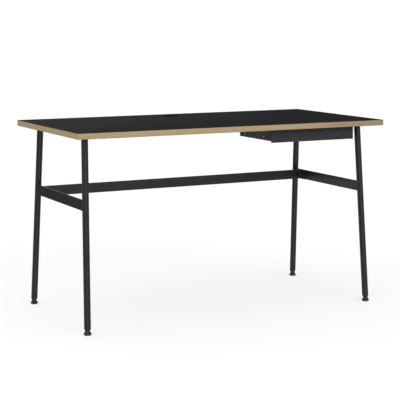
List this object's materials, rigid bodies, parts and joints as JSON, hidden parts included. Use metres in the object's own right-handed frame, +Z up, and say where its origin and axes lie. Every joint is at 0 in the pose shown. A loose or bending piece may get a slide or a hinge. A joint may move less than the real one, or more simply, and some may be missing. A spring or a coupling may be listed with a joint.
{
  "type": "writing desk",
  "caption": "Writing desk with a black sheet-covered plywood top, splayed tube legs, a flat-bar stretcher frame and a shallow steel drawer.",
  "frame": {"origin": "on the floor, under the middle of the tabletop", "axes": "+X along the desk towards the drawer's end, +Y towards the rear edge, +Z up"},
  "size_m": [1.3, 0.65, 0.74],
  "materials": {
    "top_surface": "matt black desktop sheet",
    "plywood": "clear-oiled birch plywood",
    "frame_black": "fine-textured matt powder coat",
    "drawer_black": "fine-textured matt powder coat",
    "black_plastic": "moulded, matt",
    "black_fastener": "black zinc",
    "zinc": "bright zinc plate",
    "ball_steel": "polished",
    "rubber": "matt"
  },
  "bodies": {
    "frame": {"cable_port_sleeve": "black_plastic", "crossbar": "frame_black", "crossbar_bolts": "black_fastener", "crossbar_tab_left": "frame_black", "crossbar_tab_right": "frame_black", "crossbar_washers": "black_fastener", "drawer_bumpers": "rubber", "drawer_housing": "drawer_black", "housing_screws": "black_fastener", "leg_front_left": "frame_black", "leg_front_right": "frame_black", "leg_plug_front_left": "black_plastic", "leg_plug_front_right": "black_plastic", "leg_plug_rear_left": "black_plastic", "leg_plug_rear_right": "black_plastic", "leg_rear_left": "frame_black", "leg_rear_right": "frame_black", "outer_runner_left": "zinc", "outer_runner_right": "zinc", "outer_runner_screws": "zinc", "rail_inserts": "zinc", "rail_screws": "zinc", "side_bar_left": "frame_black", "side_bar_right": "frame_black", "tabletop_backing": "top_surface", "tabletop_core": "plywood", "tabletop_surface": "top_surface", "top_rail_left": "frame_black", "top_rail_right": "frame_black"},
    "drawer": {"drawer_tray": "drawer_black", "drawer_front": "drawer_black", "drawer_front_nuts": "zinc", "inner_runner_left": "zinc", "inner_runner_right": "zinc", "inner_runner_rivets": "zinc"},
    "ball_cage_left": {"ball_cage_left": "zinc", "runner_balls_left": "ball_steel"},
    "ball_cage_right": {"ball_cage_right": "zinc", "runner_balls_right": "ball_steel"},
    "glide_front_left": {"glide_stud_front_left": "zinc", "glide_foot_front_left": "black_plastic"},
    "glide_front_right": {"glide_stud_front_right": "zinc", "glide_foot_front_right": "black_plastic"},
    "glide_rear_left": {"glide_stud_rear_left": "zinc", "glide_foot_rear_left": "black_plastic"},
    "glide_rear_right": {"glide_stud_rear_right": "zinc", "glide_foot_rear_right": "black_plastic"}
  },
  "joints": [
    {"name": "drawer_slide", "type": "slide", "parent": "frame", "child": "drawer", "axis": [0, -1, 0], "range_m": [0, 0.18]},
    {"name": "ball_cage_slide_left", "type": "slide", "parent": "frame", "child": "ball_cage_left", "axis": [0, -1, 0], "range_m": [0, 0.09]},
    {"name": "ball_cage_slide_right", "type": "slide", "parent": "frame", "child": "ball_cage_right", "axis": [0, -1, 0], "range_m": [0, 0.09]},
    {"name": "level_front_left", "type": "slide", "parent": "frame", "child": "glide_front_left", "axis": [-0.0282, -0.0759, -0.9967], "range_m": [0, 0.008]},
    {"name": "level_front_right", "type": "slide", "parent": "frame", "child": "glide_front_right", "axis": [0.0282, -0.0759, -0.9967], "range_m": [0, 0.008]},
    {"name": "level_rear_left", "type": "slide", "parent": "frame", "child": "glide_rear_left", "axis": [-0.0282, 0.0759, -0.9967], "range_m": [0, 0.008]},
    {"name": "level_rear_right", "type": "slide", "parent": "frame", "child": "glide_rear_right", "axis": [0.0282, 0.0759, -0.9967], "range_m": [0, 0.008]}
  ],
  "couplings": [
    {"joint": "ball_cage_slide_left", "follows": "drawer_slide", "ratio": 0.5},
    {"joint": "ball_cage_slide_right", "follows": "drawer_slide", "ratio": 0.5}
  ]
}
